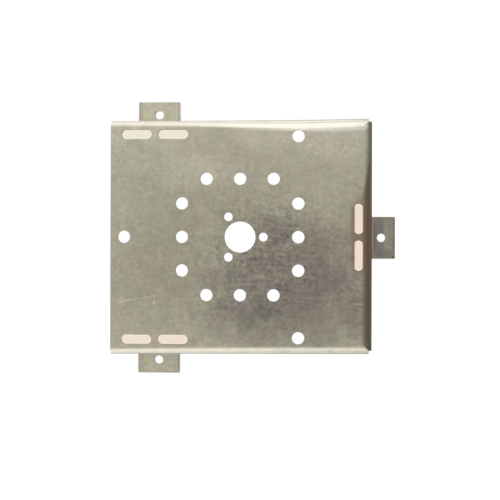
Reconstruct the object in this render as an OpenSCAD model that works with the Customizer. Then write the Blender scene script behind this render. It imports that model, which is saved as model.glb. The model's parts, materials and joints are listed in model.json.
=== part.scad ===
// Mounting bracket folded from one sheet: a drilled plate, two side walls, an end wall and three feet.
// The centre hole's axis is Z and the plate's outer face is at Z = 0, so the feet stand below it.
// The open edge faces -X and the end wall faces +X.

/* [Sheet] */
// Thickness of the sheet
sheet = 1.5; // [1:0.1:2]
// Inside radius of the folds between plate and walls
fold_r = 3; // [1:0.1:3.1]
// Overall height, from the plate's outer face to the underside of the feet
height = 20; // [14:0.5:60]
// Gap between two walls where they meet at a folded corner
corner_gap = 0.3; // [0.2:0.1:0.8]

/* [Plate] */
// Length of the plate, from the open edge to the end wall's outer face
plate_l = 135; // [130:1:220]
// Width of the plate over the side walls' outer faces
plate_w = 121.5; // [120:0.5:220]
// Distance from the open edge to the centre hole's axis
open_edge = 67; // [64:0.5:80]

/* [Centre holes] */
// Diameter of the centre hole
bore_d = 16; // [6:0.5:18]
// Diameter of the three screw holes round the centre hole
screw_d = 4.5; // [2:0.1:6]
// Pitch circle of the three screw holes
screw_pcd = 24; // [22:0.5:46]

/* [Square of holes] */
// Diameter of the twelve holes of the square
square_d = 6.4; // [3:0.1:8]
// Distance between opposite rows of the square
square_side = 60; // [54:1:80]
// Distance between neighbouring holes along a row
square_pitch = 17.3; // [10:0.1:22]

/* [Outer holes] */
// Diameter of the three outer holes
outer_d = 6.4; // [3:0.1:7.5]
// Pitch circle of the three outer holes
outer_pcd = 120; // [94:1:121]

/* [Slots] */
// Length of a slot over its round ends
slot_l = 15.5; // [8:0.5:18]
// Width of a slot
slot_w = 4.8; // [3:0.1:5]
// Distance between the middles of the two slots of a pair
slot_pitch = 18.9; // [18.5:0.1:24]
// Distance from a side wall's outer face to the middle of its slots
side_slot_inset = 7.8; // [7.1:0.1:20]
// Distance from the end wall's outer face to the middle of its slots
end_slot_inset = 7.1; // [7.1:0.1:20]
// Distance from the open edge to the middle of the side slots and side feet
pair_inset = 22.9; // [18:0.1:60]

/* [Feet] */
// Width of a foot
foot_w = 22.2; // [10:0.2:34]
// Inside radius of the fold between a wall and its foot
foot_fold_r = 2; // [1:0.1:2.4]
// Radius where a foot's side runs into the wall's free edge
foot_root_r = 1; // [0.5:0.25:3]
// Radius of the corners at a foot's tip
foot_corner_r = 0.5; // [0.25:0.25:3]
// Reach of a side foot beyond its wall's outer face
side_foot_reach = 11.7; // [8:0.1:30]
// Reach of the end foot beyond its wall's outer face
end_foot_reach = 13.6; // [10:0.1:30]
// Diameter of the hole in each foot
foot_hole_d = 4.5; // [2.5:0.1:4.6]
// Distance from a side wall's outer face to the hole in its foot
side_foot_hole = 4.8; // [4.7:0.1:8]
// Distance from the end wall's outer face to the hole in its foot
end_foot_hole = 6.3; // [4.7:0.1:10]

/* [Hidden] */
$fn = 96;

// How far a cutting solid runs past the face it cuts
past = 1;

// Outside radii of the two kinds of fold
fold_outer_r = fold_r + sheet;
foot_fold_outer_r = foot_fold_r + sheet;

// Outer face of the end wall, and the X position of the side slots and side feet
end_x = plate_l - open_edge;
pair_x = pair_inset - open_edge;

// Depth of the walls' free edges below the plate's outer face
wall_depth = height - foot_fold_outer_r - foot_root_r;

// Filled section across the plate: straight sides with a round fold at each upper corner
module across_section(w, top, low, r) {
    translate([-w / 2, -low])
        square([w, low - top - r]);
    translate([-w / 2 + r, -low])
        square([w - 2 * r, low - top]);
    for (side = [-1, 1])
        translate([side * (w / 2 - r), -top - r])
            circle(r);
}

// Filled section along the plate: square at the open edge, a round fold at the end wall
module along_section(x0, x1, top, low, r) {
    translate([x0, -low])
        square([x1 - x0, low - top - r]);
    translate([x0, -low])
        square([x1 - x0 - r, low - top]);
    translate([x1 - r, -top - r])
        circle(r);
}

// Solid bounded by one skin of the sheet, inset from the outer faces, with its folds mitred
module filled_tray(inset, x0, low) {
    r = fold_outer_r - inset;
    intersection() {
        translate([x0, 0, 0])
            rotate([90, 0, 90])
                linear_extrude(plate_l + 2 * past)
                    across_section(plate_w - 2 * inset, inset, low, r);
        rotate([90, 0, 0])
            linear_extrude(plate_w + 2 * past, center = true)
                along_section(x0, end_x - inset, inset, low, r);
    }
}

// Plate with its three walls, before the corners are opened
module tray() {
    difference() {
        filled_tray(0, -open_edge, wall_depth);
        filled_tray(sheet, -open_edge - past, wall_depth + past);
    }
}

// Opening at a folded corner: the walls stop short of each other and the folds part on the mitre
module corner_opening() {
    wall_stop = sheet + corner_gap;
    translate([end_x - wall_stop, plate_w / 2 - wall_stop, -wall_depth - past])
        cube([wall_stop + past, wall_stop + past, wall_depth + 2 * past]);
    translate([end_x - fold_outer_r, plate_w / 2 - fold_outer_r, -wall_depth - past])
        rotate([0, 0, 45])
            translate([0, -corner_gap / 2, 0])
                cube([fold_outer_r, corner_gap, wall_depth + 2 * past]);
}

// Section of a foot: the neck in the wall's plane, the fold, and the flat that is screwed down
module foot_section(reach) {
    translate([-sheet, foot_fold_outer_r - height])
        square([sheet, height - wall_depth - foot_fold_outer_r + sheet]);
    translate([foot_fold_r, foot_fold_outer_r - height])
        intersection() {
            difference() {
                circle(foot_fold_outer_r);
                circle(foot_fold_r);
            }
            translate([-foot_fold_outer_r, -foot_fold_outer_r])
                square(foot_fold_outer_r);
        }
    translate([foot_fold_r, -height])
        square([reach - foot_fold_r, sheet]);
}

// Outline of a foot seen from above, with rounded tip corners
module foot_outline(reach) {
    translate([-sheet, -foot_w / 2])
        square([sheet + reach - foot_corner_r, foot_w]);
    translate([-sheet, foot_corner_r - foot_w / 2])
        square([sheet + reach, foot_w - 2 * foot_corner_r]);
    for (side = [-1, 1])
        translate([reach - foot_corner_r, side * (foot_w / 2 - foot_corner_r)])
            circle(foot_corner_r);
}

// Concave corner between a foot's side and the wall's free edge
module foot_root() {
    translate([-sheet, foot_w / 2, -wall_depth - foot_root_r])
        rotate([90, 0, 90])
            linear_extrude(sheet)
                difference() {
                    square(foot_root_r);
                    translate([foot_root_r, 0])
                        circle(foot_root_r);
                }
}

// One foot, with the wall's outer face at x = 0 and the foot turned out along +x
module foot(reach, hole_x) {
    difference() {
        intersection() {
            rotate([90, 0, 0])
                linear_extrude(foot_w + 2 * past, center = true)
                    foot_section(reach);
            translate([0, 0, -height - past])
                linear_extrude(height + past)
                    foot_outline(reach);
        }
        translate([hole_x, 0, -height - past])
            cylinder(d = foot_hole_d, h = sheet + 2 * past);
    }
    foot_root();
    mirror([0, 1, 0])
        foot_root();
}

module side_foot(side) {
    translate([pair_x, side * plate_w / 2, 0])
        rotate([0, 0, side * 90])
            foot(side_foot_reach, side_foot_hole);
}

module end_foot() {
    translate([end_x, 0, 0])
        foot(end_foot_reach, end_foot_hole);
}

// Round hole through the plate
module plate_hole(d) {
    translate([0, 0, -sheet - past])
        cylinder(d = d, h = sheet + 2 * past);
}

// Round-ended slot through the plate, with its length along x
module plate_slot() {
    straight = slot_l - slot_w;
    translate([-straight / 2, -slot_w / 2, -sheet - past])
        cube([straight, slot_w, sheet + 2 * past]);
    for (end = [-1, 1])
        translate([end * straight / 2, 0, 0])
            plate_hole(slot_w);
}

// Two slots end to end, centred on the origin
module slot_pair() {
    for (end = [-1, 1])
        translate([end * slot_pitch / 2, 0, 0])
            plate_slot();
}

// Centre hole and the three screw holes round it
module centre_holes() {
    plate_hole(bore_d);
    for (i = [0:2])
        rotate([0, 0, i * 120])
            translate([screw_pcd / 2, 0, 0])
                plate_hole(screw_d);
}

// Three holes in each of the four rows of the square
module square_holes() {
    for (row = [0:3], place = [-1:1])
        rotate([0, 0, row * 90])
            translate([square_side / 2, place * square_pitch, 0])
                plate_hole(square_d);
}

// Three holes on the outer pitch circle, one of them next to the open edge
module outer_holes() {
    for (i = [0:2])
        rotate([0, 0, 60 + i * 120])
            translate([outer_pcd / 2, 0, 0])
                plate_hole(outer_d);
}

// A pair of slots beside each wall
module wall_slots() {
    for (side = [-1, 1])
        translate([pair_x, side * (plate_w / 2 - side_slot_inset), 0])
            slot_pair();
    translate([end_x - end_slot_inset, 0, 0])
        rotate([0, 0, 90])
            slot_pair();
}

module bracket() {
    color([0.63, 0.61, 0.53]) {
        difference() {
            tray();
            corner_opening();
            mirror([0, 1, 0])
                corner_opening();
            centre_holes();
            square_holes();
            outer_holes();
            wall_slots();
        }
        for (side = [-1, 1])
            side_foot(side);
        end_foot();
    }
}

bracket();
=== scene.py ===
"""A zinc-coated mounting bracket, made as in a sheet shop: a blank is cut, punched and folded.

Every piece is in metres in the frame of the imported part: the centre hole's axis is Z, the
plate's outer face is at Z = 0 and the feet stand on the floor below it.
"""

import json
import math

import bmesh
import bpy
from bpy.props import FloatProperty, FloatVectorProperty, IntProperty, PointerProperty
from bpy.types import Operator, Panel, PropertyGroup
from mathutils import Matrix, Vector


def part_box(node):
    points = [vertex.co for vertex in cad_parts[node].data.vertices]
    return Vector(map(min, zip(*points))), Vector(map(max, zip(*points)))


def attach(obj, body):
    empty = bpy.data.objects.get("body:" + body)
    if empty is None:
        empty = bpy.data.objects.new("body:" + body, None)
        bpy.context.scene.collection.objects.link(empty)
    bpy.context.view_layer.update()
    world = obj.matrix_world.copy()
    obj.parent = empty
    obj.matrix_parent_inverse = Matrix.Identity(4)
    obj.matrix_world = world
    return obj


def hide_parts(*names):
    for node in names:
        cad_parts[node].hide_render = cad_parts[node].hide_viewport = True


bl_info = {
    "name": "Folded mounting bracket",
    "version": (1, 0, 0),
    "blender": (4, 5, 0),
    "location": "3D View > Sidebar > Bracket",
    "description": "Cuts, punches and folds a zinc-coated bracket and stands it on a pale floor",
    "category": "Add Mesh",
}

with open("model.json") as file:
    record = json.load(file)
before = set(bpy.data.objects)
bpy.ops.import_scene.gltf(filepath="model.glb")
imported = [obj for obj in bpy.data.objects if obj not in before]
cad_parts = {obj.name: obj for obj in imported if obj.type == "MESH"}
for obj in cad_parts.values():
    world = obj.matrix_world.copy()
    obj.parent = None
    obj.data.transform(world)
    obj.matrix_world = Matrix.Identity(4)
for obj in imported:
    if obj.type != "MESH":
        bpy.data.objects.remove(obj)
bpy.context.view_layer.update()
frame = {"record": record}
BRACKET_LOW, BRACKET_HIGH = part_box("bracket")
MOUNTS = {mount["name"]: mount for mount in frame["record"]["mounts"]}
TINY = 1e-7

# Widths in mm of the narrow strip along the blank's rim and of the ring round an opening
RIM_STRIP = 0.4
HOLE_RING = 0.15
# Lengths in mm over which a side fold's unevenness fades into the plate, and how much longer it
# fades beyond the start of the end fold
UNEVEN_FADE = 0.8
UNEVEN_FADE_END = 2.2
# Facets round the corners at a foot's root and at its tip, and the radius in mm above which a
# hole gets twice the facets
ROOT_STEPS = 8
TIP_STEPS = 6
LARGE_RADIUS = 5
# Angles in degrees between two faces: sheared edges turn by more, and creases show from here
SHEARED_ANGLE = 60
CREASE_ANGLE = 40


def mm(length):
    return length / 1000


def tone(red, green, blue):
    """Colour written in display values of 0 to 255, as the linear values that Blender keeps"""
    values = (channel / 255 for channel in (red, green, blue))
    return tuple(v / 12.92 if v <= 0.04045 else ((v + 0.055) / 1.055) ** 2.4 for v in values)


def length_property(description, default, low, high):
    return FloatProperty(description=description, default=mm(default), min=mm(low),
                         max=mm(high), unit="LENGTH", precision=5)


def colour_property(description, default):
    return FloatVectorProperty(description=description, default=tone(*default),
                               subtype="COLOR", size=3, min=0, max=1)


def share_property(description, default, high=1):
    return FloatProperty(description=description, default=default, min=0, max=high,
                         subtype="FACTOR" if high == 1 else "NONE")


class SheetSizes(PropertyGroup):
    """Sizes of the folds, feet and edges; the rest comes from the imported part"""

    fold_radius: length_property("Outside radius of the folds between plate and walls", 4.5, 3, 8)
    side_foot_reach: length_property("Reach of a side foot beyond its wall", 11.7, 8, 30)
    end_foot_reach: length_property("Reach of the end foot beyond its wall", 13.6, 8, 30)
    foot_width: length_property("Width of a foot", 22.2, 10, 34)
    foot_fold_radius: length_property(
        "Inside radius of the fold between a wall and its foot", 2, 1, 3)
    foot_root_radius: length_property(
        "Radius where a foot runs into the wall's free edge", 1, 0.5, 3)
    foot_corner_radius: length_property("Radius of the corners at a foot's tip", 0.5, 0.25, 3)
    corner_gap: length_property("Gap between two walls at a folded corner", 0.3, 0.2, 0.8)
    mitre_gap: length_property(
        "Gap between two folds where they part on the mitre", 0.14, 0.14, 0.8)
    edge_round: length_property(
        "Rounding that shears and punches leave on every edge", 0.06, 0.02, 0.06)
    open_end_tighter: length_property(
        "How much tighter the side folds are at the open edge", 0.9, 0, 1)
    far_fold_fuller: length_property(
        "How much fuller the far side fold gets towards the end wall", 0.85, 0, 0.85)
    far_wall_flare: length_property(
        "How far the far side wall stands out at the end wall", 0.57, 0, 1)
    far_wall_lean: length_property(
        "How far the far side wall leans in at the open edge", 0.45, 0, 1)
    near_wall_lean: length_property(
        "How far the near side wall leans in at the end wall", 0.6, 0, 1)
    fold_steps: IntProperty(description="Facets across a fold", default=14, min=4, max=40)
    side_steps: IntProperty(description="Facets along a side fold", default=24, min=4, max=80)
    rim_steps: IntProperty(description="Facets round the small holes", default=48, min=16, max=128)


class ZincLook(PropertyGroup):
    """Colours and wear of the zinc coat, and the colours of the highlights and shade painted on it
    """

    zinc: colour_property("Dull zinc", (160, 155, 137))
    # Partly painted light: besides the coat's lighter tone, this lightens the top left of the plate
    # and the side feet, and draws a lighter line along the end foot's fold
    light: colour_property("Zinc that has kept its light tone", (179, 173, 156))
    olive: colour_property("Zinc with a darker olive tone", (150, 145, 127))
    # Partly painted shade: besides the coat's duller tone, this darkens the lower right of the
    # plate and the whole end foot
    dull: colour_property("Zinc dulled by handling", (123, 116, 106))
    green: colour_property("Faint green cast of old zinc", (155, 158, 138))
    moss: colour_property("Darker green cast", (121, 124, 106))
    stain: colour_property("Purple-grey handling stains", (117, 108, 105))
    blue_stain: colour_property("Bluish grey spots", (104, 103, 99))
    # Painted shade: a dark brown that stands in for the dark reflection along the end fold, and
    # darkens the mitres and the end foot's edges
    brown: colour_property("Brown stain by the end fold", (116, 99, 84))
    grime: colour_property("Dark grime along the end fold", (104, 91, 78))
    # Painted highlights: the next two colours stand in for the bright reflections along the side
    # folds
    fold_highlight: colour_property("Zinc rubbed bright along the side folds", (196, 192, 180))
    bright: colour_property("Corner line of the side folds, rubbed brightest", (228, 223, 211))
    straw: colour_property("Yellowish tone on the feet", (186, 181, 148))
    # Painted shade: a brown that deepens the end fold's dark band beside the end slots
    shade_brown: colour_property("Brown stain on the end fold", (121, 98, 82))
    edge: colour_property("Tone of the zinc where it is seen edge on", (156, 153, 147))
    steel: colour_property("Bare steel of the cut edges", (140, 130, 112))
    speck: colour_property("Bright specks and scratches", (205, 200, 184))
    mottle: share_property("Strength of the mottling", 0.7)
    scratches: share_property("Strength of the fine scratches", 0.5)
    roughness: share_property("Roughness of the dull zinc", 0.38)


class StageLook(PropertyGroup):
    """Floor, ground seen through the openings, and light"""

    floor: colour_property("Pale floor", (238, 236, 232))
    slot_ground: colour_property("Ground seen through the slots", (239, 230, 213))
    warm_ground: colour_property("Ground in the slots by the end wall", (240, 221, 203))
    slot_rim: colour_property("Ground close to the slots' rims", (255, 248, 232))
    slot_shade: colour_property("Ground along the end slots' sides", (140, 122, 104))
    world: share_property("Level of the light from all round", 0.9, 3)
    strip: share_property("Level of the two strip lamps", 0.95, 10)
    dim_side: share_property("How much the light falls off beyond the end wall", 0.45)


# The sheet


class Blank:
    """Layout of the flat blank, measured on the sheet's outer skin"""

    def __init__(self, sizes):
        self.sizes = sizes
        self.sheet = mm(MOUNTS["centre_bore"]["dims"]["length_mm"])
        self.radius = sizes.fold_radius
        self.open_x = BRACKET_LOW.x
        self.end_x = BRACKET_HIGH.x - sizes.end_foot_reach
        self.side_y = BRACKET_HIGH.y - sizes.side_foot_reach
        self.flat_x = self.end_x - self.radius
        self.flat_y = self.side_y - self.radius
        self.arc = self.radius * math.pi / 2
        foot_outer = sizes.foot_fold_radius + self.sheet
        self.neck_end = -BRACKET_LOW.z - foot_outer - self.radius
        self.wall_flat = self.neck_end - sizes.foot_root_radius
        self.foot_arc = sizes.foot_fold_radius * math.pi / 2
        self.stop = self.radius - self.sheet - sizes.corner_gap
        self.slit = sizes.mitre_gap / math.sqrt(2)
        self.foot_x = MOUNTS["side_slots"]["pos_m"][0]

    def foot_length(self, reach):
        """Length of the blank from the fold's start to a foot's tip"""
        return self.arc + self.neck_end + self.foot_arc + reach - self.sizes.foot_fold_radius

    def mitre(self, turned):
        """How far a fold runs past the plate's corner, where it has come `turned` outwards"""
        return min(turned - self.slit, self.stop)

    def outline(self):
        """Corners of the blank, anticlockwise from the open edge"""
        edge = self.arc + self.wall_flat
        half = self.sizes.foot_width / 2
        side_tip = self.flat_y + self.foot_length(self.sizes.side_foot_reach)
        end_tip = self.flat_x + self.foot_length(self.sizes.end_foot_reach)
        side = [
            (self.open_x, self.flat_y + edge),
            (self.foot_x - half, self.flat_y + edge),
            (self.foot_x - half, side_tip),
            (self.foot_x + half, side_tip),
            (self.foot_x + half, self.flat_y + edge),
            (self.flat_x + self.stop, self.flat_y + edge),
            (self.flat_x + self.stop, self.flat_y + self.arc),
            (self.flat_x - self.slit / 2, self.flat_y + self.slit / 2),
            (self.flat_x + self.slit / 2, self.flat_y - self.slit / 2),
            (self.flat_x + self.arc, self.flat_y + self.stop),
            (self.flat_x + edge, self.flat_y + self.stop),
            (self.flat_x + edge, half),
            (end_tip, half),
        ]
        return [(x, -y) for x, y in side] + [(x, y) for x, y in reversed(side)]

    def uneven(self, x, side):
        """How much fuller a side fold is than drawn at x, and how far its wall stands out there"""
        sizes = self.sizes
        share = min(max((x - self.open_x) / (self.flat_x - self.open_x), 0), 1)
        if side < 0:
            return -sizes.open_end_tighter * (1 - share) ** 3, -sizes.near_wall_lean * share
        fuller = sizes.far_fold_fuller * math.sin(math.pi * share ** 3)
        fuller -= sizes.open_end_tighter * (1 - share) ** 1.5
        turned_out = (sizes.far_wall_flare + sizes.far_wall_lean) * share ** 2.3
        return fuller, turned_out - sizes.far_wall_lean

    def fold(self, across, along, depth, radius):
        """Folded (out, sideways, up) of a point `along` the blank past the fold's start"""
        turn = min(along / self.radius, math.pi / 2)
        arm = radius - depth
        if across > -self.slit:
            flat = self.mitre(self.radius * math.sin(turn)) + self.slit
            share = (self.mitre(arm * math.sin(turn)) + self.slit) / max(flat, TINY)
            across = (across + self.slit) * share - self.slit
        out = arm * math.sin(turn)
        up = -radius + arm * math.cos(turn)
        beyond = along - self.arc
        if beyond > 0:
            share = (self.radius + self.neck_end - radius) / self.neck_end
            up = -radius - min(beyond, self.neck_end) * share
        beyond -= self.neck_end
        if beyond > 0:
            inner = self.sizes.foot_fold_radius
            foot_turn = min(beyond / inner, math.pi / 2)
            out = radius + inner - (inner + depth) * math.cos(foot_turn)
            up -= (inner + depth) * math.sin(foot_turn)
            out += max(beyond - self.foot_arc, 0)
        return out, across, up

    def folded(self, place):
        """Place in the folded bracket of a point of the flat blank"""
        x, y, depth = place.x, place.y, -place.z
        past_x, past_y = x - self.flat_x, abs(y) - self.flat_y
        side = math.copysign(1, y)
        fade = mm(UNEVEN_FADE) + mm(UNEVEN_FADE_END) * min(max(past_x / mm(1), 0), 1)
        kept = min(max(1 + past_y / fade, 0), 1)
        fuller, flare = (kept * shift for shift in self.uneven(x, side))
        down = min(max(max(past_x, past_y) - self.arc, 0) / self.neck_end, 1)
        start = self.flat_y + flare * (1 - down) - fuller
        if past_x <= 0 and past_y <= 0:
            return Vector((x, side * (abs(y) - self.flat_y + start), place.z))
        if past_x > past_y:
            out, across, up = self.fold(past_y, past_x, depth, self.radius)
            return Vector((self.flat_x + out, side * (start + across), up))
        out, across, up = self.fold(past_x, past_y, depth, self.radius + fuller)
        return Vector((self.flat_x + across, side * (start + out), up))


# Corners of the blank's outline where a foot starts, and those at its tip
FOOT_ROOTS = (1, 4, 11, 14, 21, 24)
FOOT_TIPS = (2, 3, 12, 13, 22, 23)


def cut_blank(bm, blank):
    """One flat face with rounded foot corners and a narrow strip along its rim"""
    corners = [bm.verts.new((x, y, 0)) for x, y in blank.outline()]
    bm.faces.new(corners)
    for places, radius, steps in (
            (FOOT_ROOTS, blank.sizes.foot_root_radius, ROOT_STEPS),
            (FOOT_TIPS, blank.sizes.foot_corner_radius, TIP_STEPS)):
        bmesh.ops.bevel(bm, geom=[corners[place] for place in places], affect="VERTICES",
                        offset=radius, offset_type="OFFSET", segments=steps, profile=0.5,
                        material=-1)
    bmesh.ops.inset_region(bm, faces=bm.faces[:], thickness=mm(RIM_STRIP), use_boundary=True,
                           use_even_offset=True)


def score(bm, faces, place, direction):
    """Cuts the given faces along a line, so that they can fold there"""
    edges = {e for f in faces for e in f.edges}
    verts = {v for f in faces for v in f.verts}
    bmesh.ops.bisect_plane(bm, geom=[*verts, *edges, *faces], dist=TINY, plane_co=place,
                           plane_no=direction)


def score_folds(bm, blank):
    """Fold lines of the three walls and the three feet"""
    score(bm, bm.faces[:], (blank.flat_x, 0, 0), (1, 0, 0))
    for side in (-1, 1):
        score(bm, bm.faces[:], (0, side * blank.flat_y, 0), (0, side, 0))
    steps = blank.sizes.fold_steps
    lines = [blank.arc * step / steps for step in range(1, steps + 1)]
    foot_start = blank.arc + blank.neck_end
    lines += [foot_start + blank.foot_arc * step / steps for step in range(steps + 1)]

    def past(face, side):
        middle = face.calc_center_bounds()
        past_x, past_y = middle.x - blank.flat_x, abs(middle.y) - blank.flat_y
        if side == 0:
            return past_x > max(past_y, 0)
        return past_y > max(past_x, 0) and middle.y * side > 0

    for line in lines:
        for side in (-1, 0, 1):
            faces = [f for f in bm.faces if past(f, side)]
            if side == 0:
                score(bm, faces, (blank.flat_x + line, 0, 0), (1, 0, 0))
            else:
                score(bm, faces, (0, side * (blank.flat_y + line), 0), (0, side, 0))
    count = blank.sizes.side_steps
    wall_end = blank.flat_y + blank.arc + blank.neck_end
    for step in range(1, count):
        x = blank.open_x + (blank.flat_x - blank.open_x) * step / count
        for side in (-1, 1):
            faces = [f for f in bm.faces
                     if past(f, side) and abs(f.calc_center_bounds().y) < wall_end]
            score(bm, faces, (x, 0, 0), (1, 0, 0))
    for v in bm.verts:
        past_x, past_y = v.co.x - blank.flat_x, abs(v.co.y) - blank.flat_y
        if not v.is_boundary or min(past_x, past_y) < TINY:
            continue
        along = max(past_x, past_y)
        reach = blank.mitre(blank.radius * math.sin(min(along / blank.radius, math.pi / 2)))
        if past_x > past_y:
            v.co.y = math.copysign(blank.flat_y + reach, v.co.y)
        else:
            v.co.x = blank.flat_x + reach


def pattern(name):
    """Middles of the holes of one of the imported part's patterns, in metres"""
    mount = MOUNTS[name]
    dims, (x, y, _) = mount["dims"], mount["pos_m"]
    if "pcd_mm" in dims:
        start = math.pi if name == "outer_circle" else 0
        turn = 2 * math.pi / dims["count"]
        radius = mm(dims["pcd_mm"]) / 2
        around = [(radius * math.cos(start + i * turn), radius * math.sin(start + i * turn))
                  for i in range(dims["count"])]
    else:
        columns, rows = (mm(dims.get(key, 0)) / 2 for key in ("spacing_x_mm", "spacing_y_mm"))
        around = [(dx, dy) for dx in sorted({-columns, columns}) for dy in sorted({-rows, rows})]
    return [(x + dx, y + dy) for dx, dy in around]


def openings():
    """Every opening of the sheet: middle, radius, slot length along x and y, and pattern"""
    bore = MOUNTS["centre_bore"]["dims"]
    made = [(0, 0, mm(bore["r_mm"]), 0, 0, "centre_bore")]
    for name in ("screw_circle", "outer_circle", "square_middle_holes", "square_end_rows",
                 "square_side_rows", "side_slots", "end_slots", "side_feet_holes"):
        dims = MOUNTS[name]["dims"]
        radius = mm(dims["hole_r_mm"])
        straight = mm(dims["slot_length_mm"]) - 2 * radius if "slot_length_mm" in dims else 0
        along_x, along_y = (straight, 0) if name == "side_slots" else (0, straight)
        made += [(x, y, radius, along_x, along_y, name) for x, y in pattern(name)]
    foot = MOUNTS["end_foot_hole"]
    made.append((foot["pos_m"][0], foot["pos_m"][1], mm(foot["dims"]["r_mm"]), 0, 0,
                 "end_foot_hole"))
    return made


def ring(bm, x, y, radius, along_x, along_y, steps):
    """Closed loop of edges round a hole or slot"""
    half_step = Matrix.Rotation(math.pi / steps, 4, "Z")
    verts = bmesh.ops.create_circle(bm, cap_ends=False, segments=steps, radius=radius,
                                    matrix=half_step)["verts"]
    for v in verts:
        v.co.x += math.copysign(along_x / 2, v.co.x)
        v.co.y += math.copysign(along_y / 2, v.co.y)
    bmesh.ops.translate(bm, verts=verts, vec=(x, y, 0))
    return list({e for v in verts for e in v.link_edges})


def flat_middle(blank, x, y, name):
    """Where the punch comes down on the flat blank"""
    if name == "end_foot_hole":
        x = blank.flat_x + blank.foot_length(x - blank.end_x)
    elif name == "side_feet_holes":
        y = math.copysign(blank.flat_y + blank.foot_length(abs(y) - blank.side_y), y)
    return x, y


def punch(bm, blank):
    """Refills each flat face that has openings, with a ring of small faces round every rim"""
    jobs = {}
    for x, y, radius, along_x, along_y, name in openings():
        x, y = flat_middle(blank, x, y, name)
        face = next(f for f in bm.faces
                    if bmesh.geometry.intersect_face_point(f, Vector((x, y, 0))))
        jobs.setdefault(face, []).append((x, y, radius, along_x, along_y))
    for face, holes in jobs.items():
        border = face.edges[:]
        bmesh.ops.delete(bm, geom=[face], context="FACES_ONLY")
        for x, y, radius, along_x, along_y in holes:
            steps = blank.sizes.rim_steps * (2 if radius > mm(LARGE_RADIUS) else 1)
            inner = ring(bm, x, y, radius, along_x, along_y, steps)
            outer = ring(bm, x, y, radius + mm(HOLE_RING), along_x, along_y, steps)
            bmesh.ops.bridge_loops(bm, edges=inner + outer)
            border += outer
        bmesh.ops.triangle_fill(bm, edges=border, use_beauty=True, use_dissolve=False,
                                normal=(0, 0, 1))


def thicken(bm, blank):
    """Gives the blank its thickness below Z = 0 and rounds every sheared or punched edge"""
    bmesh.ops.recalc_face_normals(bm, faces=bm.faces[:])
    bmesh.ops.solidify(bm, geom=bm.faces[:], thickness=blank.sheet)
    top = max(v.co.z for v in bm.verts)
    bmesh.ops.translate(bm, verts=bm.verts[:], vec=(0, 0, -top))
    bmesh.ops.recalc_face_normals(bm, faces=bm.faces[:])
    sheared = math.radians(SHEARED_ANGLE)
    rims = [e for e in bm.edges if e.is_manifold and e.calc_face_angle() > sheared]
    bmesh.ops.bevel(bm, geom=rims, affect="EDGES", offset=blank.sizes.edge_round,
                    offset_type="OFFSET", segments=2, profile=0.5, material=-1,
                    clamp_overlap=False)


def keep_layout(bm):
    """Stores each point's place on the flat blank and whether it is on a cut edge"""
    layout = bm.verts.layers.float_vector.new("blank_place")
    cut = bm.verts.layers.float.new("cut_edge")
    for v in bm.verts:
        v[layout] = v.co
        v[cut] = 1.0 if any(abs(f.normal.z) < 0.9 for f in v.link_faces) else 0.0


def fold_blank(bm, blank):
    for v in bm.verts:
        v.co = blank.folded(v.co)


def add_object(name, data):
    made = bpy.data.objects.new(name, data)
    bpy.context.scene.collection.objects.link(made)
    return made


def make_piece(bm, name, material):
    """Turns a bmesh into an object at the origin"""
    mesh = bpy.data.meshes.new(name)
    bm.to_mesh(mesh)
    bm.free()
    mesh.materials.append(material)
    return add_object(name, mesh)


def finish_sheet(bm, name, material):
    """Turns the folded sheet into an object with smooth folds and crisp edges"""
    bmesh.ops.recalc_face_normals(bm, faces=bm.faces[:])
    piece = make_piece(bm, name, material)
    mesh = piece.data
    mesh.polygons.foreach_set("use_smooth", [True] * len(mesh.polygons))
    mesh.set_sharp_from_angle(angle=math.radians(CREASE_ANGLE))
    weighted = piece.modifiers.new("Flat faces stay flat", "WEIGHTED_NORMAL")
    weighted.keep_sharp = True
    weighted.weight = 100
    return piece


# Shader helpers


def feed(socket, value):
    """Links an input to another node, or gives it a plain value"""
    if isinstance(value, Value):
        socket.id_data.links.new(value.socket, socket)
    else:
        socket.default_value = value


def put(tree, kind, inputs=None, **options):
    """Adds a shader node; inputs are plain values or Values, options are the node's settings"""
    made = tree.nodes.new("ShaderNode" + kind)
    for name, value in options.items():
        setattr(made, name, value)
    for name, value in (inputs or {}).items():
        feed(made.inputs[name], value)
    return made


def read(tree, kind, inputs=None, output=0, **options):
    """Adds a node and gives one of its outputs"""
    return Value(put(tree, kind, inputs, **options).outputs[output])


def outputs_of(node):
    """Looks up a node's outputs by their names"""
    return lambda name: Value(node.outputs[name])


class Value:
    """Output of a node, which adds and multiplies as a plain number does"""

    def __init__(self, socket):
        self.socket = socket
        self.tree = socket.id_data

    def maths(self, operation, *others, clamp=False):
        return read(self.tree, "Math", dict(enumerate((self, *others))),
                    operation=operation, use_clamp=clamp)

    def __add__(self, other):
        return self.maths("ADD", other)

    def __sub__(self, other):
        return self.maths("SUBTRACT", other)

    def __rsub__(self, other):
        return self * -1 + other

    def __mul__(self, other):
        return self.maths("MULTIPLY", other)

    def __pow__(self, other):
        return self.maths("POWER", other)

    def __abs__(self):
        return self.maths("ABSOLUTE")

    def axes(self):
        """Splits a vector into its x, y and z"""
        parts = outputs_of(put(self.tree, "SeparateXYZ", {0: self}))
        return parts("X"), parts("Y"), parts("Z")

    def ramp(self, low, high, out_low=0.0, out_high=1.0):
        """Smooth step between two levels"""
        return read(self.tree, "MapRange", {
            "Value": self, "From Min": low, "From Max": high, "To Min": out_low,
            "To Max": out_high}, interpolation_type="SMOOTHSTEP")

    def span(self, ends, out_low=0.0, out_high=1.0):
        """Smooth step over a span written in mm"""
        return self.ramp(mm(ends[0]), mm(ends[1]), out_low, out_high)

    def band(self, start, rise, end, fade):
        """Rises to 1 over the length `rise` past start, and falls to 0 over `fade` past end"""
        return self.ramp(start, start + rise) * self.ramp(end, end + fade, 1.0, 0.0)


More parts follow.
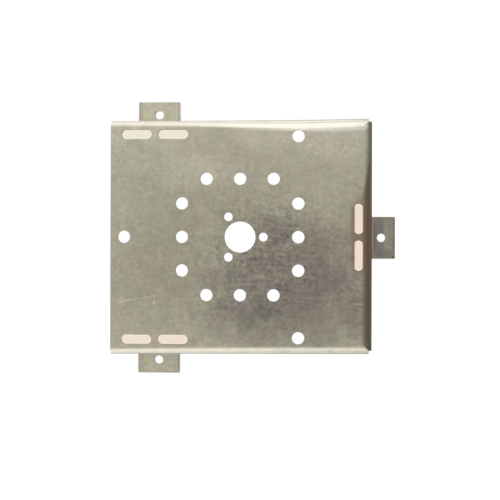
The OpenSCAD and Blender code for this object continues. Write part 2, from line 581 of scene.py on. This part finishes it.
def blend_colour(tree, share, first, second, mode="MIX"):
    made = put(tree, "Mix", data_type="RGBA", blend_type=mode)
    inputs = {socket.identifier: socket for socket in made.inputs}
    feed(inputs["Factor_Float"], share)
    for name, value in (("A_Color", first), ("B_Color", second)):
        feed(inputs[name], value if isinstance(value, Value) else (*value, 1))
    return Value(next(s for s in made.outputs if s.identifier == "Result_Color"))


def emptied(owner):
    """Node tree of a new material or world, with nothing in it"""
    owner.use_nodes = True
    owner.node_tree.nodes.clear()
    return owner.node_tree


def new_group(name, inputs, outputs):
    """Empty shader node group; inputs have a kind each, and every output is a number"""
    group = bpy.data.node_groups.new(name, "ShaderNodeTree")
    for socket_name, kind in inputs.items():
        group.interface.new_socket(socket_name, in_out="INPUT", socket_type="NodeSocket" + kind)
    for socket_name in outputs:
        group.interface.new_socket(socket_name, in_out="OUTPUT", socket_type="NodeSocketFloat")
    given = outputs_of(group.nodes.new("NodeGroupInput"))
    return group, given, group.nodes.new("NodeGroupOutput").inputs


def use_group(tree, group, inputs):
    return outputs_of(put(tree, "Group", inputs, node_tree=group))


# How far a patch's ragged edge wanders, as a share of its size
RAGGED_REACH = 4.0
# Levels of the noise where a fine scratch starts and where it is full
SCRATCH_LEVELS = (0.66, 0.76)
# Noises of the coat: waves for each metre, detail, roughness and distortion; then the levels of
# the last one where a dark crinkle ends and starts, and what they are worth
NOISES = (("Clouds", 120, 4, 0.55, 0.3), ("Mottle", 420, 3, 0.6, 0.6),
          ("Grain", 1500, 3, 0.65, 0.0), ("Tint", 85, 2, 0.5, 0.2), ("Crinkle", 300, 2, 0.5, 1.0))
CRINKLE_LEVELS = (0.09, 0.0, -0.3, 0.7)


def soft_patch_group():
    """Mask of one ragged, soft-edged patch on the sheet"""
    group, given, result = new_group(
        "Soft patch",
        {"Place": "Vector", "Uneven": "Float", "Middle": "Vector", "Half Size": "Vector",
         "Turn": "Float", "Ragged": "Float", "Softness": "Float"}, ("Mask",))
    moved = read(group, "VectorMath", {0: given("Place"), 1: given("Middle")}, operation="SUBTRACT")
    turned = read(group, "VectorRotate", {"Vector": moved, "Angle": given("Turn")},
                  rotation_type="Z_AXIS")
    scaled = read(group, "VectorMath", {0: turned, 1: given("Half Size")}, operation="DIVIDE")
    distance = read(group, "VectorMath", {0: scaled}, "Value", operation="LENGTH")
    reached = distance + given("Uneven") * given("Ragged") * RAGGED_REACH
    softness = given("Softness")
    feed(result["Mask"], reached.ramp(softness + 1, 1 - softness))
    return group


def streak_group():
    """Streaks along one direction: a signed value around zero, and a mask of fine scratches"""
    group, given, result = new_group(
        "Streaks", {"Place": "Vector", "Turn": "Float", "Along": "Float", "Across": "Float"},
        ("Streak", "Scratch"))
    turned = read(group, "VectorRotate",
                  {"Vector": given("Place"), "Angle": given("Turn")}, rotation_type="Z_AXIS")
    stretch = read(group, "CombineXYZ", {"X": given("Along"), "Y": given("Across"), "Z": 500.0})
    scaled = read(group, "VectorMath", {0: turned, 1: stretch}, operation="MULTIPLY")
    lines = read(group, "TexNoise", {"Vector": scaled, "Scale": 1.0, "Detail": 3.0,
                                     "Roughness": 0.55})
    feed(result["Streak"], lines - 0.5)
    feed(result["Scratch"], lines.ramp(*SCRATCH_LEVELS))
    return group


def mottle_group():
    """Clouds, mottle, grain, tint and dark crinkles of a zinc coat, signed and around zero"""
    group, given, result = new_group("Zinc mottle", {"Place": "Vector"},
                                     [name for name, *_ in NOISES])
    for name, scale, detail, roughness, distortion in NOISES:
        noise = read(group, "TexNoise", {
            "Vector": given("Place"), "Scale": scale, "Detail": detail, "Roughness": roughness,
            "Distortion": distortion}) - 0.5
        feed(result[name], abs(noise).ramp(*CRINKLE_LEVELS) if name == "Crinkle" else noise)
    return group


# Soft patches of the coat by colour, raggedness and softness: the middle and half size of each in
# mm on the flat blank, its turn in degrees and its strength
COAT_PATCHES = (
    # The light patches along the top and left and the big dull patch at the lower right make the
    # plate lighter towards the top left and darker towards the lower right: partly the coat's own
    # tone, partly painted light and shade
    ("light", 0.12, 0.7, (
        (48, 50.5, 22.61, 11, -5, 0.65), (-13, 52, 35.97, 6.68, 0, 0.12),
        (-16, 33, 14, 8, 0, 0.35), (-53, 50, 24, 14, 0, 0.75), (-23, 33, 13, 8.5, 0, 0.8),
        (-63, 30, 7, 22, 0, 0.45), (53, 28, 10, 6, 0, 0.25), (11, 52.5, 12, 8, 0, 0.6),
        (-63, -50, 10, 8, 0, 0.2), (-60.5, -5, 7, 7, 0, 0.25))),
    ("olive", 0.12, 0.7, ((-40, -19, 22.5, 21, -10, 0.85),)),
    ("olive", 0.15, 0.7, (
        (-15, 11.4, 16, 20.56, 20, 0.6), (12.5, 19.5, 17, 8, 0, 0.6), (-34.5, 4, 17, 15, 0, 0.9),
        (57, 8, 10, 18, 0, 0.7))),
    ("dull", 0.15, 0.7, ((-5, 8, 9, 8, 0, 0.14),)),
    ("dull", 0.1, 0.65, ((28.5, -26.5, 37, 29, -8, 0.9),)),
    ("dull", 0.15, 0.6, ((-15, -22, 20, 7, 0, 0.28),)),
    ("dull", 0.15, 0.5, ((26.5, -2.6, 29.5, 13.2, -10, 0.6), (-0.1, -42.6, 24.67, 13.36, 0, 0.3))),
    ("green", 0.15, 0.6, ((-51.5, 26.8, 15.42, 23.13, 10, 0.55),)),
    ("green", 0.2, 0.6, ((-47.4, 44.8, 10.3, 6.2, 0, 0.25),)),
    ("moss", 0.3, 0.5, ((4, -45.7, 5.65, 4.63, 0, 0.8), (-7, -33.5, 3, 5, 0, 0.4))),
    ("stain", 0.35, 0.45, ((18.9, 3.1, 8.8, 6.2, 25, 0.45),)),
    ("stain", 0.3, 0.5, ((0.5, -22, 14, 5.5, -4, 0.3),)),
    ("stain", 0.3, 0.45, ((13.3, -12.8, 10.28, 4.63, 0, 0.4),)),
    ("stain", 0.35, 0.5, ((43.1, -21, 11.31, 7.19, -20, 0.5), (29, -30, 12.33, 7.19, 0, 0.5))),
    ("stain", 0.3, 0.45, ((-0.1, -38.5, 17.47, 6.17, 0, 0.35),)),
    ("brown", 0.2, 0.6, ((59, -38.5, 4.63, 10.28, 0, 0.4),)),
    ("brown", 0.08, 0.35, ((61, 0.3, 4.4, 21, 0, 0.65),)),
    ("blue_stain", 0.35, 0.6, ((12.2, -38.6, 5, 4.6, 10, 0.62),)),
    ("blue_stain", 0.35, 0.45, ((22.5, -1.5, 2.57, 3.08, 0, 0.5),)),
    ("green", 0.1, 0.5, ((-14.5, -0.5, 2.6, 8.5, 0, 0.45),)),
    ("speck", 0.02, 0.5, (
        (-14, -14.1, 3.2, 0.2, 8, 0.22), (3.5, -24.1, 4.5, 0.25, 3, 0.2),
        (16.3, -9.2, 7, 0.22, -1, 0.18), (20.5, 5, 3.5, 0.25, -20, 0.22))),
    ("speck", 0.1, 0.5, (
        (-44.3, -33.9, 0.67, 0.67, 0, 0.5), (39.5, 43.2, 0.82, 0.62, 0, 0.45),
        (35.9, 47.3, 0.67, 0.51, 0, 0.4))),
    ("speck", 0.02, 0.5, (
        (-54.6, -32.1, 10.8, 0.26, 9, 0.32), (-57.7, -33.1, 7.2, 0.21, 11, 0.25),
        (61.6, -34.4, 3.08, 0.26, 0, 0.4))),
    # Painted light: the far foot made lighter than the plate
    ("light", 0.1, 0.5, ((-44.1, 83.5, 14, 9, 0, 1), (-41, 84, 8, 6, 0, 0.5))),
    ("green", 0.1, 0.5, ((-41, 87, 8, 1.6, 0, 0.2),)),
    ("straw", 0.2, 0.6, ((-50.8, 81.2, 2, 2.2, 0, 0.6), (-37.4, 81.5, 2.2, 2.4, 0, 0.7))),
    ("stain", 0.05, 0.5, ((-54.2, 84, 1.3, 9, 0, 0.14),)),
    ("speck", 0.02, 0.5, ((-34.9, 84, 0.35, 9, 0, 0.35),)),
    ("stain", 0.02, 0.5, ((-34.2, 84, 0.3, 9, 0, 0.3),)),
    ("speck", 0.02, 0.5, ((-52.6, 84, 0.25, 9, 0, 0.2),)),
    # Painted light: the near foot made a little lighter than the plate
    ("light", 0.1, 0.5, ((-44.1, -83.5, 13, 8, 0, 0.4),)),
    ("green", 0.2, 0.5, ((-54.2, -86, 1.5, 1.8, 0, 0.6),)),
    ("stain", 0.05, 0.5, ((-54.4, -82, 1, 5, 0, 0.15),)),
    ("moss", 0.02, 0.5, ((-52.4, -84, 0.25, 7, 0, 0.35),)),
    ("straw", 0.2, 0.6, ((-48.5, -82, 2.4, 4, 0, 0.2),)),
    # Painted shade along one edge of the near foot
    ("grime", 0.02, 0.5, ((-33.5, -83.5, 0.4, 7, 0, 0.45),)),
    ("green", 0.2, 0.5, ((-34.5, -86.4, 0.7, 1.4, 0, 0.5),)),
    ("blue_stain", 0.1, 0.5, ((-38.5, -88.2, 5, 0.7, 0, 0.3),)),
    # Painted shade: the whole end foot made darker than the plate
    ("dull", 0.1, 0.4, ((91, 0, 10, 15, 0, 0.95),)),
    # Painted highlight: a lighter line along the end foot's fold; the two dark lines next to it are
    # painted shade
    ("light", 0.05, 0.3, ((84.3, 0, 1.2, 14, 0, 0.9),)),
    ("stain", 0.02, 0.5, ((86.3, 0, 0.5, 14, 0, 0.35),)),
    ("grime", 0.02, 0.5, ((87.1, 0, 0.3, 14, 0, 0.35),)),
    ("stain", 0.2, 0.5, ((89, 5.5, 2.6, 4, 0, 0.4),)),
    ("green", 0.15, 0.6, ((92.2, 0, 1.2, 13, 0, 0.3),)),
    ("zinc", 0.1, 0.5, ((94.4, 0, 2, 13, 0, 0.3),)),
    ("stain", 0.2, 0.5, ((90.5, -8.2, 6, 2.2, 0, 0.6),)),
    # Painted shade along the end foot's tip and far edge, and in a dark spot at its near tip corner
    ("grime", 0.02, 0.5, ((96.7, 0, 0.35, 14, 0, 0.5), (91.5, 10.7, 8, 0.3, 0, 0.4))),
    ("grime", 0.1, 0.4, ((96.4, -10.4, 1.2, 0.7, 0, 1),)),
)

# Where the sheet was handled most, and the painted brown shade on the end fold by the end slots:
# such a patch, then its raggedness and softness
HANDLED_PATCHES = ((15, -13, 29, 27, -8, 1, 0.08, 0.7), (46, -26, 18, 16, 0, 0.4, 0.08, 0.7))
FOLD_SHADE_PATCH = (67, -1.5, 4.5, 17, 0, 0.7, 0.12, 0.45)

# Smears and fine scratches: turn in degrees, then waves along and across for each metre; smears
# and mottling end with their level everywhere and the level added where the sheet was handled
SMEARS = ((6, 110, 620, 0.14, 0.75), (90, 60, 300, 0.16, 0.2))
SCRATCHES = ((4, 45, 2200), (81, 90, 1900))
MOTTLING = (("Clouds", 0.32, 0.1), ("Mottle", 0.75, 0.6), ("Grain", 0.42, 1.0),
            ("Crinkle", -0.01, -0.24))
MOTTLE_IN_PATCHES = 0.6
SCRATCH_SHARE = 0.35
TINT_RED = 0.14
TINT_GREEN = -0.05

# Painted highlights and shade of the folds, in mm past a fold's start on the flat blank: a band is
# its start, the length of its rise, its end and the length of its fade, and a span is where a mask
# starts and is full. The painted shade's end counts from the end of the fold.
END_SIDE_SPAN = (-0.1, 0.1)
RIGHT_LENGTH = 78
RIGHT_AT_BORE = 0.59
# Painted highlight along the side folds, wider towards the end wall and at the far fold; the BRIGHT
# values further down give its brightest line
HIGHLIGHT_BAND = (0.5, 2.4, 5.2, 1.8)
HIGHLIGHT_FAR_END = 1.3
HIGHLIGHT_RIGHT_START = -0.5
HIGHLIGHT_RIGHT_FAR_START = -2.9
HIGHLIGHT_RIGHT_POWER = 1.6
HIGHLIGHT_SHARE = 0.97
HIGHLIGHT_NEAR_RIGHT = -0.35
HIGHLIGHT_CLOUDS = 0.9
HIGHLIGHT_END_SPAN = (1.5, 4)
HIGHLIGHT_LESS_SPAN = (56, 65)
HIGHLIGHT_LESS = 0.7
BRIGHT_BAND = (2.9, 0.8, 4.6, 1.2)
BRIGHT_FAR_END = 0.9
BRIGHT_SHARE = 0.9
ONSET_SPAN = (-1.8, 2.4)
# Painted shade along the end fold: its band, where it starts further in on the lower side, and how
# it weakens further round the fold
END_SHADE_BAND = (1.4, 2.6, 0.5, 4.5)
END_SHADE_LOWER_SPAN = (42, 18)
END_SHADE_LOWER_START = -3.2
END_SHADE_THIN_SPAN = (3.5, 4.9)
END_SHADE_SHARES = (0.85, 0.45)
CUT_SHARE = 0.6

# Painted shade in the mitres: how far from the mitre and how far along it, and between the walls
MITRE_SPAN = (0.8, 0.2)
MITRE_START_SPAN = (-0.3, 0.2)
MITRE_WALL_SPAN = (2, 2.6)
MITRE_END_SPAN = (9, 5)
MITRE_SHARE = 0.7
MITRE_FAR_SHARE = -0.6

# Roughness added by the clouds and lost under the painted fold highlights, and the bump: its height
# in mm and the mottle's share of it
ROUGHER_CLOUDS = 0.25
SMOOTHER_IN_HIGHLIGHT = 0.1
BUMP_HEIGHT = 0.32
BUMP_MOTTLE = 0.01


class Coat:
    """Masks and colours of the zinc coat and of the highlights and shade painted on it, worked out
    from places on the flat blank
    """

    def __init__(self, tree, look, blank):
        self.tree, self.look = tree, look
        self.fold_end = blank.arc
        self.place = read(tree, "Attribute", output="Vector", attribute_name="blank_place")
        self.x, self.y, _ = self.place.axes()
        self.past_x = self.x - blank.flat_x
        self.past_y = abs(self.y) - blank.flat_y
        self.on_end = (self.past_x - self.past_y).span(END_SIDE_SPAN)
        self.far = self.y.maths("GREATER_THAN", 0.0)
        self.right = self.x.maths("MULTIPLY_ADD", 1 / mm(RIGHT_LENGTH), RIGHT_AT_BORE, clamp=True)
        self.mottle = use_group(tree, mottle_group(), {"Place": self.place})
        self.uneven = self.mottle("Mottle") * MOTTLE_IN_PATCHES + self.mottle("Clouds")
        self.patch_group, self.streak_group = soft_patch_group(), streak_group()

    def patch(self, x, y, half_x, half_y, turn, strength, ragged, softness):
        """Mask of one soft patch, written in mm and degrees"""
        made = use_group(self.tree, self.patch_group, {
            "Place": self.place, "Uneven": self.uneven, "Middle": (mm(x), mm(y), 0),
            "Half Size": (mm(half_x), mm(half_y), 1), "Turn": math.radians(-turn),
            "Ragged": ragged, "Softness": softness})
        return made("Mask") * strength

    def streaks(self, turn, along, across):
        return use_group(self.tree, self.streak_group, {
            "Place": self.place, "Turn": math.radians(turn), "Along": along, "Across": across})

    def plain_colour(self):
        """The coat without its folds: patches, smears, mottling and fine scratches"""
        tree, look = self.tree, self.look
        colour = blend_colour(tree, 0.0, look.zinc, look.zinc)
        for name, ragged, softness, patches in COAT_PATCHES:
            for patch in patches:
                mask = self.patch(*patch, ragged, softness)
                colour = blend_colour(tree, mask, colour, getattr(look, name))
        first, second = (self.patch(*patch) for patch in HANDLED_PATCHES)
        handled = first.maths("MAXIMUM", second)
        uneven = [(self.streaks(*line)("Streak"), plain, more) for *line, plain, more in SMEARS]
        uneven += [(self.mottle(name), plain * look.mottle, more * look.mottle)
                   for name, plain, more in MOTTLING]
        light = 1.0
        for value, plain, more in uneven:
            light = value * (handled * more + plain) + light
        tint = self.mottle("Tint")
        tinted = read(tree, "CombineXYZ", {
            "X": tint * TINT_RED + light, "Y": tint * TINT_GREEN + light, "Z": light})
        colour = blend_colour(tree, 1.0, colour, tinted, "MULTIPLY")
        across, down = (self.streaks(*line)("Scratch") for line in SCRATCHES)
        lines = across.maths("MAXIMUM", down) * (SCRATCH_SHARE * look.scratches)
        return blend_colour(tree, lines, colour, look.speck)

    def fold_band(self, band, far_end, inwards=0.0):
        """Band along both side folds, which ends further out at the far one"""
        start, rise, end, fade = (mm(length) for length in band)
        return self.past_y.band(inwards + start, rise, self.far * mm(far_end) + end, fade)

    def fold_highlight_masks(self):
        """Masks of the painted highlight along the side folds and of its brightest line"""
        shift = self.far * mm(HIGHLIGHT_RIGHT_FAR_START) + mm(HIGHLIGHT_RIGHT_START)
        inwards = self.right ** HIGHLIGHT_RIGHT_POWER * shift
        near_right = self.right * (1 - self.far)
        wear_and_painted_light = self.mottle("Clouds").maths(
            "MULTIPLY_ADD", HIGHLIGHT_CLOUDS, near_right * HIGHLIGHT_NEAR_RIGHT + HIGHLIGHT_SHARE,
            clamp=True)
        wear_and_painted_light *= 1 - self.on_end * self.past_x.span(HIGHLIGHT_END_SPAN)
        wear_and_painted_light *= self.x.span(HIGHLIGHT_LESS_SPAN, 1.0, HIGHLIGHT_LESS)
        lit = self.fold_band(HIGHLIGHT_BAND, HIGHLIGHT_FAR_END, inwards) * wear_and_painted_light
        return lit, self.fold_band(BRIGHT_BAND, BRIGHT_FAR_END) * wear_and_painted_light * BRIGHT_SHARE

    def end_fold_shade(self):
        """Mask of the painted shade along the end fold, which starts further in on the lower side
        """
        start, rise, end, fade = (mm(length) for length in END_SHADE_BAND)
        start = self.y.span(END_SHADE_LOWER_SPAN) * mm(END_SHADE_LOWER_START) + start
        grimy = self.past_x.band(start, rise, self.fold_end + end, fade)
        return grimy * self.past_x.span(END_SHADE_THIN_SPAN, *END_SHADE_SHARES) * self.on_end

    def mitre_shade(self):
        """Mask of the painted shade beside the mitres and in the open corners between the walls"""
        nearer = self.past_x.maths("MINIMUM", self.past_y)
        further = self.past_x.maths("MAXIMUM", self.past_y)
        beside = (further - nearer).span(MITRE_SPAN) * nearer.span(MITRE_START_SPAN)
        beside = beside.maths("MAXIMUM", nearer.span(MITRE_WALL_SPAN))
        return beside * further.span(MITRE_END_SPAN) * (self.far * MITRE_FAR_SHARE + MITRE_SHARE)

    def surface(self):
        """Shader of the whole coat"""
        tree, look = self.tree, self.look
        cut = read(tree, "Attribute", output="Fac", attribute_name="cut_edge")
        lit, bright = self.fold_highlight_masks()
        colour = self.plain_colour()
        # The side-fold bands, the dark brown of the end fold and mitres, and the brown on the end
        # fold are painted highlights and shade; the cut edges are bare steel
        for mask, wear_and_painted_light in ((lit, look.fold_highlight), (bright, look.bright),
                           (self.end_fold_shade(), look.grime), (self.patch(*FOLD_SHADE_PATCH), look.shade_brown),
                           (cut * CUT_SHARE, look.steel), (self.mitre_shade(), look.grime)):
            colour = blend_colour(tree, mask, colour, wear_and_painted_light)
        rough = self.mottle("Clouds") * ROUGHER_CLOUDS - lit * SMOOTHER_IN_HIGHLIGHT
        onset = self.right * self.far * self.past_y.span(ONSET_SPAN, 1.0, 0.0)
        bump = read(tree, "Bump", {
            "Strength": 1.0, "Distance": mm(BUMP_HEIGHT),
            "Height": self.mottle("Mottle") * BUMP_MOTTLE + onset})
        return read(tree, "BsdfPrincipled", {
            "Base Color": colour, "Roughness": rough + look.roughness, "Metallic": 1.0,
            "Normal": bump, "Specular Tint": (*look.edge, 1)})


def zinc_material(look, blank):
    material = bpy.data.materials.new("Zinc-coated steel")
    tree = emptied(material)
    put(tree, "OutputMaterial", {"Surface": Coat(tree, look, blank).surface()})
    return material


# The stage


# Places on the floor in metres whose reflections in the folds are dimmer or brighter
FLOOR_DIM_END = (0.06, 0.09)
FLOOR_DIM_NEAR = (-0.09, 0.021, -0.062, 0.007)
FLOOR_DIM_NEAR_SHARE = 0.5
FLOOR_BRIGHT_FAR = (0.055, 0.065)
FLOOR_BRIGHT_FAR_SHARE = -0.25
FLOOR_GLOW = 0.8
FLOOR_SHADED = 0.26
FLOOR_RADIUS = 3.0
# Ground in the slots: spans in mm over which it gets warmer, the share of its rim, and the shade
# along the end slots' sides; then the levels, from face on to edge on, where a spot clears
WARM_X = (0, 50)
WARM_Y = (30, -30)
WARM_Y_SHARE = 0.7
RIM_SHARE = 0.8
SLOT_SIDE_SHADE = (0.6, 0.92)
SPOT_CLEARS = (0.1, 0.2)
# Spots on the floor in mm: their height, their reach past an opening's edge and the width of
# their rim; then the points round each
SPOT_ABOVE_FLOOR = 0.05
SPOT_PAST_RIM = 0.25
SPOT_RIM = 1.1
SPOT_STEPS = 48
# Strip lamps: their size and their places at both sides in metres, and the near one's share
STRIP_SIZE = (2.0, 0.92)
STRIP_ASIDE = 0.72
STRIP_HEIGHT = 0.54
NEAR_STRIP_SHARE = 0.9
# Slope of the direction in which the world starts to get dimmer, and where it is dimmest
WORLD_DIM = (0.05, 0.7)

EYE = Vector((0.02141, -0.00753, 0.47526))
EYE_TURN = tuple(math.radians(angle) for angle in (0.109, 1.953, 0.162))
LENS = 66.6


def seen_directly(tree):
    """1 for camera, glossy and transmission rays, which all see the pale background"""
    path = outputs_of(put(tree, "LightPath"))
    first = path("Is Camera Ray").maths("MAXIMUM", path("Is Glossy Ray"))
    return first.maths("MAXIMUM", path("Is Transmission Ray"))


def dimmed(beyond, amount):
    """Share of the background's light: all for the camera, less for reflections of a dim part"""
    glossy = read(beyond.tree, "LightPath", output="Is Glossy Ray")
    return 1 - beyond * glossy * amount


def finish_ground(tree, look, pale, hidden):
    """Pale where it is seen directly, plain for the light, and clear where it is hidden"""
    plain = read(tree, "BsdfDiffuse", {"Color": (*look.floor, 1)})
    seen = read(tree, "MixShader", {0: seen_directly(tree), 1: plain, 2: pale})
    clear = read(tree, "BsdfTransparent")
    both = read(tree, "MixShader", {0: hidden, 1: seen, 2: clear})
    put(tree, "OutputMaterial", {"Surface": both})


def floor_material(look):
    """Pale floor that looks white but keeps the object's shadow"""
    material = bpy.data.materials.new("Pale floor")
    tree = emptied(material)
    x, y, _ = read(tree, "TexCoord", output="Object").axes()
    strength = dimmed(x.ramp(*FLOOR_DIM_END), look.dim_side) * FLOOR_GLOW
    strength *= dimmed(y.band(*FLOOR_DIM_NEAR), FLOOR_DIM_NEAR_SHARE)
    strength *= dimmed(y.ramp(*FLOOR_BRIGHT_FAR), FLOOR_BRIGHT_FAR_SHARE)
    grey = (FLOOR_SHADED, FLOOR_SHADED, FLOOR_SHADED, 1)
    shaded = read(tree, "BsdfDiffuse", {"Color": grey})
    glow = read(tree, "Emission", {"Color": (1, 1, 1, 1), "Strength": strength})
    pale = read(tree, "AddShader", {0: shaded, 1: glow})
    behind = read(tree, "NewGeometry", output="Backfacing")
    finish_ground(tree, look, pale, behind)
    return material


def ground_material(look):
    """Ground seen from above through the openings: white in the holes, cream in the slots"""
    material = bpy.data.materials.new("Ground in the openings")
    tree = emptied(material)
    rim, slot, across = (read(tree, "Attribute", output="Fac", attribute_name=name)
                         for name in ("rim", "slot", "across"))
    x, y, _ = read(tree, "TexCoord", output="Object").axes()
    warm = x.span(WARM_X).maths("MAXIMUM", y.span(WARM_Y, 0.0, WARM_Y_SHARE))
    colour = blend_colour(tree, warm, look.slot_ground, look.warm_ground)
    colour = blend_colour(tree, rim * RIM_SHARE, colour, look.slot_rim)
    colour = blend_colour(tree, abs(across).ramp(*SLOT_SIDE_SHADE), colour, look.slot_shade)
    colour = blend_colour(tree, slot, (1, 1, 1), colour)
    glow = read(tree, "Emission", {"Color": colour, "Strength": 1.0})
    behind = read(tree, "NewGeometry", output="Backfacing")
    edge_on = read(tree, "LayerWeight", {"Blend": 0.5}, "Facing")
    finish_ground(tree, look, glow, behind.maths("MAXIMUM", edge_on.ramp(*SPOT_CLEARS)))
    return material


def lay_down(bm, name, material):
    """Turns flat faces into a piece of the stage that faces upwards"""
    for face in bm.faces:
        face.normal_update()
        if face.normal.z < 0:
            face.normal_flip()
    make_piece(bm, name, material)


def make_floor(look):
    bm = bmesh.new()
    bmesh.ops.create_circle(bm, cap_ends=True, segments=64, radius=FLOOR_RADIUS,
                            matrix=Matrix.Translation((0, 0, BRACKET_LOW.z)))
    lay_down(bm, "floor", floor_material(look))


def on_ground(place, ground):
    """Where the camera sees the ground through a place, and how much larger it is there"""
    stretch = (EYE.z - ground) / (EYE.z - place.z)
    return EYE + (place - EYE) * stretch, stretch


def make_ground_spots(look):
    """A spot on the floor under each opening, where the camera looks through it"""
    bm = bmesh.new()
    rim, slot, across = (bm.verts.layers.float.new(name) for name in ("rim", "slot", "across"))
    floor_z = BRACKET_LOW.z + mm(SPOT_ABOVE_FLOOR)
    foot_z = BRACKET_LOW.z + mm(MOUNTS["end_foot_hole"]["dims"]["length_mm"])
    for x, y, radius, along_x, along_y, name in openings():
        at_foot = "foot" in name or "feet" in name
        seen, stretch = on_ground(Vector((x, y, foot_z if at_foot else 0.0)), floor_z)
        size = (radius + mm(SPOT_PAST_RIM)) * stretch
        edges = ring(bm, seen.x, seen.y, size, along_x * stretch, along_y * stretch, SPOT_STEPS)
        face = bmesh.ops.contextual_create(bm, geom=edges)["faces"][0]
        bmesh.ops.translate(bm, verts=face.verts[:], vec=(0, 0, floor_z))
        is_slot = 1.0 if "slots" in name else 0.0
        for v in face.verts:
            v[rim], v[slot] = 1.0, is_slot
        inner = bmesh.ops.inset_region(bm, faces=[face], thickness=mm(SPOT_RIM),
                                       use_boundary=True, use_even_offset=True)
        for v in face.verts:
            v[rim], v[slot] = 0.0, is_slot
        for f in inner["faces"]:
            for v in f.verts:
                v[slot] = is_slot
                if name == "end_slots":
                    v[across] = (v.co.x - seen.x) / size
    lay_down(bm, "ground_spots", ground_material(look))


def make_lamps(look):
    """Two long soft strips beside the bracket"""
    for name, side, level in (("strip_far", 1, look.strip),
                              ("strip_near", -1, look.strip * NEAR_STRIP_SHARE)):
        lamp = bpy.data.lights.new(name, "AREA")
        lamp.shape = "RECTANGLE"
        lamp.size, lamp.size_y = STRIP_SIZE
        lamp.energy = level * math.pi * STRIP_SIZE[0] * STRIP_SIZE[1]
        piece = add_object(name, lamp)
        piece.location = (0, side * STRIP_ASIDE, STRIP_HEIGHT)
        piece.rotation_euler = (-piece.location).to_track_quat("-Z", "Y").to_euler()


def make_world(look):
    world = bpy.data.worlds.new("Studio")
    tree = emptied(world)
    white = (1, 1, 1, 1)
    soft = read(tree, "Background", {"Color": white, "Strength": look.world})
    x, _, _ = read(tree, "TexCoord", output="Generated").axes()
    strength = dimmed(x.ramp(*WORLD_DIM), look.dim_side)
    pale = read(tree, "Background", {"Color": white, "Strength": strength})
    both = read(tree, "MixShader", {0: seen_directly(tree), 1: soft, 2: pale})
    put(tree, "OutputWorld", {"Surface": both})
    bpy.context.scene.world = world


def make_camera():
    data = bpy.data.cameras.new("camera")
    data.lens, data.sensor_width = LENS, 36.0
    data.clip_start, data.clip_end = 0.01, 20.0
    camera = add_object("camera", data)
    camera.location = EYE
    camera.rotation_euler = EYE_TURN
    bpy.context.scene.camera = camera


# Operators and panel


class BRACKET_OT_fold_sheet(Operator):
    """Cut, punch and fold the bracket from one zinc-coated sheet"""

    bl_idname = "bracket.fold_sheet"
    bl_label = "Fold the bracket"

    def execute(self, context):
        blank = Blank(context.scene.bracket_sheet)
        bm = bmesh.new()
        cut_blank(bm, blank)
        score_folds(bm, blank)
        punch(bm, blank)
        thicken(bm, blank)
        keep_layout(bm)
        fold_blank(bm, blank)
        material = zinc_material(context.scene.bracket_zinc, blank)
        sheet = finish_sheet(bm, "folded_sheet", material)
        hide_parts("bracket")
        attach(sheet, "root")
        return {"FINISHED"}


class BRACKET_OT_make_stage(Operator):
    """Lay the pale floor and set the camera and the soft light"""

    bl_idname = "bracket.make_stage"
    bl_label = "Make the stage"

    def execute(self, context):
        look = context.scene.bracket_stage
        make_floor(look)
        make_ground_spots(look)
        make_lamps(look)
        make_world(look)
        make_camera()
        context.scene.view_settings.view_transform = "Standard"
        return {"FINISHED"}


class BRACKET_PT_panel(Panel):
    bl_idname = "BRACKET_PT_panel"
    bl_label = "Folded bracket"
    bl_space_type = "VIEW_3D"
    bl_region_type = "UI"
    bl_category = "Bracket"

    def draw(self, context):
        scene = context.scene
        for title, group in (("Sheet", scene.bracket_sheet), ("Zinc", scene.bracket_zinc),
                             ("Stage", scene.bracket_stage)):
            box = self.layout.box()
            box.label(text=title)
            for name in group.bl_rna.properties.keys():
                if name not in ("rna_type", "name"):
                    box.prop(group, name, text=name.replace("_", " ").capitalize())
        for operator in (BRACKET_OT_fold_sheet, BRACKET_OT_make_stage):
            self.layout.operator(operator.bl_idname)


CLASSES = (SheetSizes, ZincLook, StageLook, BRACKET_OT_fold_sheet, BRACKET_OT_make_stage,
           BRACKET_PT_panel)


def register():
    for cls in CLASSES:
        bpy.utils.register_class(cls)
    bpy.types.Scene.bracket_sheet = PointerProperty(type=SheetSizes)
    bpy.types.Scene.bracket_zinc = PointerProperty(type=ZincLook)
    bpy.types.Scene.bracket_stage = PointerProperty(type=StageLook)


def unregister():
    del bpy.types.Scene.bracket_sheet
    del bpy.types.Scene.bracket_zinc
    del bpy.types.Scene.bracket_stage
    for cls in reversed(CLASSES):
        bpy.utils.unregister_class(cls)


def main():
    register()
    bpy.ops.bracket.fold_sheet()
    bpy.ops.bracket.make_stage()


if __name__ == "__main__":
    main()
